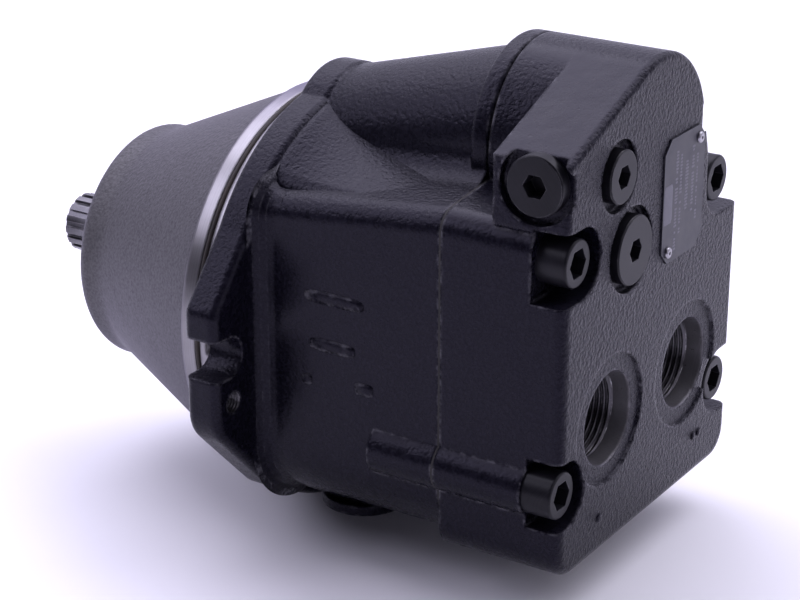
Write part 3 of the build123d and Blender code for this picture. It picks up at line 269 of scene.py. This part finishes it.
def buildDust():
    # fine dust that lies on upward faces, in soft patches
    group, given, result = startGroup(
        "dust",
        [("Vector", "NodeSocketVector", None), ("Amount", "NodeSocketFloat", 0.2)],
        [("Mask", "NodeSocketFloat")],
    )
    true = place(group, "ShaderNodeNewGeometry").outputs["Normal"]
    up = place(group, "ShaderNodeSeparateXYZ", {0: true}).outputs[2]
    lying = ramp(group, up, 0.1, 0.95)
    patch = place(group, "ShaderNodeTexNoise", {"Vector": given["Vector"], "Scale": 45.0, "Detail": 5.0,
                                                "Roughness": 0.65}).outputs[0]
    mask = calc(group, "MULTIPLY", lying, ramp(group, patch, 0.35, 0.75))
    mask = calc(group, "MULTIPLY", mask, given["Amount"])
    group.links.new(mask, result["Mask"])
    return group


def buildTurned():
    # turning lines: a fine ripple along the shaft and across the radius, uneven round the part
    group, given, result = startGroup(
        "turned",
        [("Vector", "NodeSocketVector", None), ("Lines", "NodeSocketFloat", 2600.0),
         ("Depth", "NodeSocketFloat", 0.000004)],
        [("Height", "NodeSocketFloat"), ("Tone", "NodeSocketFloat")],
    )
    parts = place(group, "ShaderNodeSeparateXYZ", {0: given["Vector"]}).outputs
    square = calc(group, "MULTIPLY", parts[2], parts[2])
    radius = calc(group, "SQRT", calc(group, "MULTIPLY_ADD", parts[1], parts[1], square))
    along = calc(group, "MULTIPLY", calc(group, "ADD", parts[0], radius), given["Lines"])
    ripple = place(group, "ShaderNodeTexNoise", {"W": along, "Scale": 1.0, "Detail": 2.0},
                   noise_dimensions="1D").outputs[0]
    stain = place(group, "ShaderNodeTexNoise", {"Vector": given["Vector"], "Scale": 60.0,
                                                "Detail": 4.0}).outputs[0]
    group.links.new(calc(group, "MULTIPLY", ripple, given["Depth"]), result["Height"])
    tone = calc(group, "MULTIPLY_ADD", ripple, 0.4, calc(group, "MULTIPLY", stain, 0.6))
    group.links.new(tone, result["Tone"])
    return group


castSkin, edgeWear, dust, turned = buildCastSkin(), buildEdgeWear(), buildDust(), buildTurned()
print("shared effects built")


# ---- materials ----

def startMaterial(name, constants):
    material = bpy.data.materials.new(name)
    material.use_nodes = True
    tree = material.node_tree
    shader = tree.nodes["Principled BSDF"]
    for key, value in constants.items():
        shader.inputs[key].default_value = value
    where = place(tree, "ShaderNodeTexCoord").outputs["Object"]
    return material, tree, shader, where


def bump(tree, height, normal=None, strength=1.0):
    values = {"Height": height, "Strength": strength, "Distance": 1.0}
    if normal is not None:
        values["Normal"] = normal
    return place(tree, "ShaderNodeBump", values).outputs[0]


def radiusFrom(tree, parts, y, z):
    # distance from the line parallel to the shaft through (y, z)
    dy, dz = calc(tree, "SUBTRACT", parts[1], y), calc(tree, "SUBTRACT", parts[2], z)
    return calc(tree, "SQRT", calc(tree, "MULTIPLY_ADD", dy, dy, calc(tree, "MULTIPLY", dz, dz)))


castPaint = {
    "paint": (0.0024, 0.0021, 0.0050), "paintWorn": (0.0060, 0.0055, 0.0105),
    "dustColour": (0.060, 0.056, 0.075),
    "iron": (0.118, 0.115, 0.118), "ironDark": (0.066, 0.064, 0.066), "machined": (0.27, 0.262, 0.272),
    "machinedDark": (0.17, 0.165, 0.17), "bareEdge": (0.20, 0.195, 0.215),
    "roughness": 0.27, "ironRoughness": 0.50, "machinedRoughness": 0.30, "wear": 0.55, "dust": 0.10,
    "fineGrain": 950.0, "fineHeight": 0.00006, "coarseGrain": 640.0, "coarseHeight": 0.00058,
    "lumpHeight": 0.00035,
}


def castingMaterial(name, settings, zones):
    # black paint over a sand casting, with masks for bare iron, machined faces and the coarse skin
    gloss = {"IOR": 1.25, "Specular Tint": (0.84, 0.80, 1.0, 1.0)}
    material, tree, shader, where = startMaterial(name, gloss)
    parts = place(tree, "ShaderNodeSeparateXYZ", {0: where}).outputs
    bare, cut, coarse = zones(tree, parts)
    skin = useGroup(tree, castSkin, {"Vector": where, "Grain": settings["coarseGrain"],
                                     "Grain Height": settings["coarseHeight"],
                                     "Lump Height": 0.0, "Pits": 0.5})
    calm = useGroup(tree, castSkin, {"Vector": where, "Grain": settings["fineGrain"],
                                     "Grain Height": settings["fineHeight"],
                                     "Lump Height": settings["lumpHeight"], "Pits": 0.3})
    lines = useGroup(tree, turned, {"Vector": where, "Lines": 3200.0, "Depth": 0.000006})
    wear = useGroup(tree, edgeWear, {"Vector": where, "Radius": 0.0018, "Amount": settings["wear"]})
    powder = useGroup(tree, dust, {"Vector": where, "Amount": settings["dust"]})

    paint = blendColour(tree, ramp(tree, skin["Tone"], 0.35, 0.7), settings["paint"], settings["paintWorn"])
    paint = blendColour(tree, powder["Mask"], paint, settings["dustColour"])
    paint = blendColour(tree, wear["Mask"], paint, settings["bareEdge"])
    iron = blendColour(tree, ramp(tree, calm["Tone"], 0.25, 0.60), settings["ironDark"], settings["iron"])
    tone = ramp(tree, lines["Tone"], 0.3, 0.7)
    steel = blendColour(tree, tone, settings["machinedDark"], settings["machined"])
    colour = blendColour(tree, cut, blendColour(tree, bare, paint, iron), steel)
    tree.links.new(colour, shader.inputs["Base Color"])

    rough = calc(tree, "MULTIPLY_ADD", skin["Tone"], 0.14, settings["roughness"] - 0.07)
    rough = calc(tree, "ADD", rough, calc(tree, "MULTIPLY", powder["Mask"], 0.5))
    rough = blendValue(tree, bare, rough, settings["ironRoughness"])
    rough = blendValue(tree, cut, rough, settings["machinedRoughness"])
    tree.links.new(rough, shader.inputs["Roughness"])
    metal = calc(tree, "MAXIMUM", calc(tree, "MULTIPLY", bare, 0.35), calc(tree, "MULTIPLY", cut, 0.95))
    tree.links.new(metal, shader.inputs["Metallic"])
    height = blendValue(tree, cut, blendValue(tree, coarse, calm["Height"], skin["Height"]), lines["Height"])
    tree.links.new(bump(tree, height, wear["Normal"]), shader.inputs["Normal"])
    return material


def housingZones(tree, parts):
    # bare iron nose in front of the pilot, machined pilot band and seal bore, coarser skin on upward faces
    radius = radiusFrom(tree, parts, 0.0, 0.0)
    nose = ramp(tree, parts[0], -0.0126, -0.0124, 1.0, 0.0)
    band = calc(tree, "MULTIPLY", ramp(tree, radius, 0.0783, 0.0786), ramp(tree, radius, 0.0806, 0.0803))
    band = calc(tree, "MULTIPLY", band, ramp(tree, parts[0], 0.0002, -0.0001))
    band = calc(tree, "MULTIPLY", band, ramp(tree, parts[0], -0.0127, -0.0125))
    bore = ramp(tree, radius, 0.0304, 0.0302)
    true = place(tree, "ShaderNodeNewGeometry").outputs["Normal"]
    up = place(tree, "ShaderNodeSeparateXYZ", {0: true}).outputs[2]
    return nose, calc(tree, "MAXIMUM", band, bore), ramp(tree, up, 0.05, 0.55, 0.10, 0.75)


portCut = 0.5  # share of the cut steel colour on the port faces; the rest keeps the near-black paint colour, so the ports come out darker
slopeAngle = 21.0  # the end cap's sloping facet falls this many degrees towards the near side
slopeFacing = (0.0, -math.sin(math.radians(slopeAngle)), math.cos(math.radians(slopeAngle)))


def endCapZones(tree, parts):
    # the two work ports from the rim inwards, and the coarse skin of the rear face
    near, far = radiusFrom(tree, parts, -0.0306, -0.0135), radiusFrom(tree, parts, 0.0306, -0.0135)
    port = ramp(tree, calc(tree, "MINIMUM", near, far), 0.01815, 0.01795)
    rear = ramp(tree, parts[0], 0.1420, 0.1438, 0.30, 1.0)
    # the sloping facet is smooth; the flank beside it has the coarse skin again
    true = place(tree, "ShaderNodeNewGeometry").outputs["Normal"]
    slope = place(tree, "ShaderNodeVectorMath", {0: true, 1: slopeFacing},
                  operation="DOT_PRODUCT").outputs["Value"]
    flank = calc(tree, "MULTIPLY", ramp(tree, parts[2], 0.062, 0.075), ramp(tree, slope, 0.995, 0.985))
    rear = calc(tree, "MAXIMUM", rear, calc(tree, "MULTIPLY", flank, 0.75))
    rear = calc(tree, "MULTIPLY", rear, ramp(tree, slope, 0.9995, 0.995, 0.12, 1.0))
    return 0.0, calc(tree, "MULTIPLY", port, portCut), rear


def steelMaterial(name, settings):
    # metal with turning lines, stains and worn edges
    material, tree, shader, where = startMaterial(name, {"IOR": settings.get("ior", 1.45)})
    lines = useGroup(tree, turned, {"Vector": where, "Lines": settings["lines"], "Depth": settings["depth"]})
    wear = useGroup(tree, edgeWear, {"Vector": where, "Radius": 0.00045, "Amount": settings["wear"]})
    tone = ramp(tree, lines["Tone"], 0.32, 0.68)
    colour = blendColour(tree, tone, settings["dark"], settings["light"])
    colour = blendColour(tree, wear["Mask"], colour, settings["edge"])
    tree.links.new(colour, shader.inputs["Base Color"])
    rough = calc(tree, "MULTIPLY_ADD", tone, 0.14, settings["roughness"] - 0.07)
    tree.links.new(rough, shader.inputs["Roughness"])
    metal = blendValue(tree, wear["Mask"], settings["metallic"], 1.0)
    tree.links.new(metal, shader.inputs["Metallic"])
    tree.links.new(bump(tree, lines["Height"], wear["Normal"]), shader.inputs["Normal"])
    return material


steelFinishes = {
    "black_oxide": {"dark": (0.0045, 0.0042, 0.0060), "light": (0.014, 0.0135, 0.0175),
                    "edge": (0.26, 0.255, 0.27),
                    "roughness": 0.36, "metallic": 0.12, "wear": 0.5, "lines": 1500.0, "depth": 0.000005,
                    "ior": 1.27},
    "ground_steel": {"dark": (0.075, 0.072, 0.080), "light": (0.20, 0.195, 0.21), "edge": (0.40, 0.39, 0.41),
                     "roughness": 0.36, "metallic": 0.95, "wear": 0.6, "lines": 3000.0, "depth": 0.000003},
    "bearing_steel": {"dark": (0.45, 0.45, 0.45), "light": (0.62, 0.62, 0.62), "edge": (0.75, 0.75, 0.75),
                      "roughness": 0.18, "metallic": 1.0, "wear": 0.3, "lines": 3800.0, "depth": 0.000001},
    "bearing_cage": {"dark": (0.20, 0.19, 0.17), "light": (0.36, 0.34, 0.31), "edge": (0.55, 0.54, 0.52),
                     "roughness": 0.42, "metallic": 0.95, "wear": 0.4, "lines": 900.0, "depth": 0.000004},
    "bare_iron": {"dark": (0.11, 0.11, 0.11), "light": (0.24, 0.235, 0.235), "edge": (0.42, 0.42, 0.42),
                  "roughness": 0.46, "metallic": 0.7, "wear": 0.3, "lines": 1800.0, "depth": 0.000006},
    "bronze": {"dark": (0.36, 0.21, 0.08), "light": (0.62, 0.40, 0.17), "edge": (0.80, 0.58, 0.30),
               "roughness": 0.30, "metallic": 1.0, "wear": 0.4, "lines": 2600.0, "depth": 0.000003},
    "spring_steel": {"dark": (0.12, 0.12, 0.13), "light": (0.26, 0.26, 0.27), "edge": (0.5, 0.5, 0.5),
                     "roughness": 0.30, "metallic": 0.95, "wear": 0.2, "lines": 1200.0, "depth": 0.000002},
    "rivet_metal": {"dark": (0.20, 0.195, 0.21), "light": (0.42, 0.41, 0.44), "edge": (0.62, 0.61, 0.64),
                    "roughness": 0.30, "metallic": 1.0, "wear": 0.4, "lines": 2000.0, "depth": 0.000002},
    # thread_cut: the dark and light colours are painted shade for the inside of the port bores; the bright
    # worn-edge colour on the crests is the cut steel's own
    "thread_cut": {"dark": (0.030, 0.028, 0.032), "light": (0.12, 0.115, 0.125), "edge": (0.55, 0.54, 0.56),
                   "roughness": 0.34, "metallic": 0.9, "wear": 0.95, "lines": 2600.0, "depth": 0.000004},
}

softFinishes = {
    "rubber": {"low": (0.012, 0.010, 0.009), "high": (0.040, 0.030, 0.024), "roughness": 0.62,
               "scale": 900.0, "height": 0.00001},
    "gasket_paper": {"low": (0.016, 0.015, 0.016), "high": (0.035, 0.032, 0.032), "roughness": 0.75,
                     "scale": 1500.0, "height": 0.00003},
    "plate_black": {"low": (0.018, 0.017, 0.025), "high": (0.030, 0.029, 0.040), "roughness": 0.40,
                    "scale": 240.0, "height": 0.000003},
    "plate_print": {"low": (0.085, 0.083, 0.105), "high": (0.14, 0.137, 0.165), "roughness": 0.50,
                    "scale": 500.0, "height": 0.000002},
}


def softMaterial(name, settings):
    # matte surfaces with a mottled colour and a fine grain
    material, tree, shader, where = startMaterial(name, {"IOR": 1.4})
    noise = place(tree, "ShaderNodeTexNoise", {"Vector": where, "Scale": settings["scale"], "Detail": 4.0,
                                               "Roughness": 0.6}).outputs[0]
    broad = place(tree, "ShaderNodeTexNoise", {"Vector": where, "Scale": 70.0, "Detail": 3.0}).outputs[0]
    tone = ramp(tree, calc(tree, "MULTIPLY_ADD", noise, 0.5, calc(tree, "MULTIPLY", broad, 0.5)), 0.36, 0.64)
    tree.links.new(blendColour(tree, tone, settings["low"], settings["high"]), shader.inputs["Base Color"])
    rough = calc(tree, "MULTIPLY_ADD", tone, 0.16, settings["roughness"] - 0.08)
    tree.links.new(rough, shader.inputs["Roughness"])
    tree.links.new(bump(tree, calc(tree, "MULTIPLY", noise, settings["height"])), shader.inputs["Normal"])
    return material


finishes = {name: steelMaterial(name + "_finish", values) for name, values in steelFinishes.items()}
finishes.update({name: softMaterial(name + "_finish", values) for name, values in softFinishes.items()})
housingFinish = castingMaterial("housing_casting", castPaint, housingZones)
endCapFinish = castingMaterial("end_cap_casting", castPaint, endCapZones)

slotOf = {entry["node"]: entry["material_slot"] for entry in frame["record"]["subparts"]}
for name, part in nodes.items():
    finish = {"housing": housingFinish, "end_cap": endCapFinish}.get(name) or finishes[slotOf[name]]
    for index in range(len(part.material_slots)):
        part.material_slots[index].material = finish
print("materials assigned")


# ---- threads ----

workPortThread = {"inward": (-1, 0, 0), "pitch": 2.117, "root": 16.62, "crest": 15.35, "length": 12.3,
                  "around": 128, "stepsPerPitch": 9}
drainThread = {"mouth": (36.0, -28.0, -75.9), "inward": (0, 0, 1), "pitch": 1.814, "root": 11.07,
               "crest": 10.0, "length": 15.6, "around": 72, "stepsPerPitch": 8}
jackThread = {"inward": (-1, 0, 0), "pitch": 1.25, "root": 3.98, "crest": 3.35, "length": 14.6,
              "around": 40, "stepsPerPitch": 8}

threads = []
for label, side in (("near", -1), ("far", 1)):
    portMouth, jackMouth = (137.4, side * 30.6, -13.5), (14.8, side * 84.5, -18.6)
    threads.append(threadSleeve("work_port_thread_" + label, {**workPortThread, "mouth": portMouth}))
    threads.append(threadSleeve("jack_thread_" + label, {**jackThread, "mouth": jackMouth}))
threads.append(threadSleeve("drain_thread", drainThread))
# the thread finish paints the port bores dark as painted shade, with steel colour left on the crests
for piece in threads:
    piece.data.materials.append(finishes["thread_cut"])
    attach(piece, "casing")
print("threads cut:", len(threads))


# ---- cast web between the flange and the shoulders ----

castWeb = {"start": 12.2, "end": 90.0, "flangeBack": 15.0, "flangeRadius": 85.5, "edgeDrop": 0.9,
           "inner": 16.0, "outer": 57.5, "sideWidth": 67.0, "crest": 18.0, "shoulderStart": 9.0,
           "shoulderEnd": 94.0, "shoulderFront": 57.0, "shoulderBack": 66.0, "rise": 6.0, "fade": 1.7,
           "soften": 2.0, "skinDrop": 0.6, "frontTuck": 1.2, "sideTuck": 1.0, "sunk": 4.0, "sideSunk": 2.0,
           "alongSteps": 40, "acrossSteps": 36}


def webSide(settings, side):
    # top: the shoulder's own height plus a lift that is the flange arc's height over the shoulder,
    # sqrt(R^2 - y^2) - shoulder, and falls as (1 - t)^fade to nothing at the far end;
    # underside: sunk in the wall; edges tucked under the skin
    x = np.linspace(settings["start"], settings["end"], settings["alongSteps"])
    y = np.linspace(settings["inner"], settings["outer"], settings["acrossSteps"])
    alongX, acrossY = np.meshgrid(x, y, indexing="ij")
    share = (alongX - settings["shoulderStart"]) / (settings["shoulderEnd"] - settings["shoulderStart"])
    slope = np.clip((settings["sideWidth"] - acrossY) / (settings["sideWidth"] - settings["crest"]), 0, 1)
    shoulder = settings["shoulderFront"] + share * (settings["shoulderBack"] - settings["shoulderFront"])
    shoulder = shoulder + settings["rise"] * slope
    arc = np.sqrt(settings["flangeRadius"] ** 2 - acrossY ** 2) - settings["edgeDrop"]
    excess = arc - shoulder
    excess = 0.5 * (excess + np.sqrt(excess ** 2 + settings["soften"]))
    t = np.clip((alongX - settings["flangeBack"]) / (settings["end"] - settings["flangeBack"]), 0, 1)
    top = shoulder - settings["skinDrop"] + excess * (1 - t) ** settings["fade"]
    top = top - settings["frontTuck"] * (alongX < settings["flangeBack"] - 1.0)
    top = top - settings["sideTuck"] * (acrossY > settings["outer"] - 1.5)
    below = shoulder - settings["sunk"] - settings["sideSunk"] * (acrossY > settings["outer"] - 8)
    upper = np.stack([alongX, acrossY, top], axis=-1)
    lower = np.stack([alongX, acrossY, below], axis=-1)[:, ::-1]
    rings = np.concatenate([upper, lower], axis=1)
    rows, count = rings.shape[:2]
    r, c = np.meshgrid(np.arange(rows - 1), np.arange(count), indexing="ij")
    cNext = (c + 1) % count
    here, ahead = r * count, (r + 1) * count
    walls = np.stack([here + c, here + cNext, ahead + cNext, ahead + c], axis=-1)
    k = np.arange(settings["acrossSteps"] - 1)
    lid = np.stack([k, count - 1 - k, count - 2 - k, k + 1], axis=-1)
    lids = np.concatenate([lid, lid[:, ::-1] + (rows - 1) * count])
    points = rings.reshape(-1, 3) * (1.0, side, 1.0) * mm
    faces = np.concatenate([walls.reshape(-1, 4), lids])
    return points, (faces if side < 0 else faces[:, ::-1]).tolist()


for label, side in (("near", -1), ("far", 1)):
    webPoints, webFaces = webSide(castWeb, side)
    web = meshFromArrays("cast_web_" + label, webPoints, webFaces)
    web.data.materials.append(housingFinish)
    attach(web, "casing")
print("cast webs made")


# ---- nameplate print and cast marks ----

onRear = {"out": (1, 0, 0), "u": (0, 1, 0), "v": (0, 0, 1)}
onNearSide = {"out": (0, -1, 0), "u": (1, 0, 0), "v": (0, 0, 1)}
labelPatch = {**onRear, "face": 145.6, "height": 0.07, "sunk": 0.02, "squareness": 14.0,
              "places": [(8.0, 57.2, 3.4, 7.6)]}
platePrint = {"columns": [(14.2, 37.0, 78.0, 1.3), (17.6, 44.0, 74.0, 1.1), (22.4, 52.0, 71.0, 1.6),
                          (27.4, 50.0, 76.0, 1.3), (31.0, 46.0, 72.0, 0.9)],
              "pitch": 1.3, "thin": 0.42, "face": 145.6, "height": 0.05, "sunk": 0.02, "squareness": 6.0,
              "seed": 7}
portMarks = {**onRear, "face": 145.0, "height": 0.7, "sunk": 0.3, "squareness": 3.0,
             "places": [(-36.4, -51.3, 1.8, 1.8), (41.0, -48.5, 1.6, 1.6), (45.6, -48.5, 1.6, 1.6)]}
castMarks = {**onNearSide, "face": 67.0, "height": 0.6, "sunk": 0.3, "squareness": 4.0,
             "places": [(49.0, 24.0, 13.5, 2.6),
                        (48.0, 5.2, 10.5, 2.6),
                        (36.5, -10.0, 2.2, 2.2), (62.0, -8.6, 4.2, 2.6)]}


def printPlaces(settings):
    # short strokes across each column at a steady pitch, each with its own width and some left out
    rng = np.random.default_rng(settings["seed"])
    strokes = []
    for y, low, high, half in settings["columns"]:
        heights = np.arange(low, high, settings["pitch"])
        widths = half * rng.uniform(0.55, 1.0, len(heights))
        kept = rng.uniform(size=len(heights)) > 0.16
        strokes += [(y, z, w, settings["thin"]) for z, w in zip(heights[kept], widths[kept])]
    return strokes


printSettings = {**onRear, **platePrint, "places": printPlaces(platePrint)}
for name, settings, finish, slotName in (
    ("nameplate_patch", labelPatch, finishes["plate_print"], "plate_black"),
    ("nameplate_print", printSettings, finishes["plate_print"], "plate_black"),
    ("port_marks", portMarks, endCapFinish, "painted_casting"),
    ("cast_marks", castMarks, housingFinish, "painted_casting"),
):
    piece = raisedPips(name, settings)
    piece.data.materials.append(finish)
    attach(piece, "casing")
print("nameplate print and cast marks made")


# ---- stage, light and camera ----

stageSettings = {"floorSize": 12.0, "floorColour": (0.93, 0.92, 0.95), "backdrop": (0.98, 0.94, 1.22),
                 "backdropStrength": 0.92, "darkSide": 0.07, "backdropTowards": (-0.55, 0.80, 0.25)}
floorHeight = cadBox[0][2] - 0.0005
half = stageSettings["floorSize"] / 2
floorPoints = np.array([[-half, -half, floorHeight], [half, -half, floorHeight],
                        [half, half, floorHeight], [-half, half, floorHeight]])
floor = meshFromArrays("floor", floorPoints, [[0, 1, 2, 3]])
floorMaterial = startMaterial("floor_finish", {"Roughness": 0.75, "IOR": 1.3,
                                               "Base Color": (*stageSettings["floorColour"], 1.0)})[0]
floor.data.materials.append(floorMaterial)

world = bpy.data.worlds.new("studio")
bpy.context.scene.world = world
world.use_nodes = True
sky = world.node_tree
background = sky.nodes["Background"]
# a pale backdrop behind the pump that falls away to a dim room in front of it
direction = place(sky, "ShaderNodeTexCoord").outputs["Generated"]
facing = place(sky, "ShaderNodeVectorMath", {0: direction, 1: stageSettings["backdropTowards"]},
               operation="DOT_PRODUCT").outputs["Value"]
glow = ramp(sky, facing, -0.15, 0.75, stageSettings["darkSide"], stageSettings["backdropStrength"])
sky.links.new(glow, background.inputs["Strength"])
background.inputs["Color"].default_value = (*stageSettings["backdrop"], 1.0)

lamps = {
    "topSoftbox": {"at": (-0.60, 0.30, 1.45), "aim": (0.0, 0.0, 0.0),
                    "size": 1.5, "power": 20.0, "colour": (0.96, 0.93, 1.12)},
    "floorWash": {"at": (0.9, 1.6, 2.2), "aim": (0.1, 0.9, -0.1),
                    "size": 2.0, "power": 44.0, "colour": (0.97, 0.95, 1.08)},
    "leftSoftbox": {"at": (-0.95, -0.85, 1.1), "aim": (0.0, 0.0, 0.05),
                    "size": 0.8, "power": 7.0, "colour": (0.95, 0.92, 1.15)},
    "rearFill": {"at": (1.3, -0.1, 0.7), "aim": (0.1, 0.0, 0.0),
                    "size": 0.8, "power": 3.0, "colour": (0.97, 0.94, 1.1)},
}
for name, lamp in lamps.items():
    light = bpy.data.lights.new(name, "AREA")
    light.shape = "SQUARE"
    light.size = lamp["size"]
    light.energy = lamp["power"]
    light.color = lamp["colour"]
    holder = bpy.data.objects.new(name, light)
    holder.location = lamp["at"]
    holder.rotation_euler = (Vector(lamp["aim"]) - Vector(lamp["at"])).to_track_quat("-Z", "Y").to_euler()
    bpy.context.scene.collection.objects.link(holder)

cameraSettings = {"at": (0.4843, -0.6934, 0.3294), "azimuth": 32.98, "elevation": 21.81, "lens": 101.1}
camera = bpy.data.cameras.new("camera")
camera.lens = cameraSettings["lens"]
camera.sensor_width = 36.0
camera.clip_start = 0.01
holder = bpy.data.objects.new("camera", camera)
turn, tilt = math.radians(cameraSettings["azimuth"]), math.radians(cameraSettings["elevation"])
forward = Vector((-math.sin(turn) * math.cos(tilt), math.cos(turn) * math.cos(tilt), -math.sin(tilt)))
holder.location = cameraSettings["at"]
holder.rotation_euler = forward.to_track_quat("-Z", "Y").to_euler()
bpy.context.scene.collection.objects.link(holder)
bpy.context.scene.camera = holder
bpy.context.scene.view_settings.view_transform = "Standard"
print("stage ready")
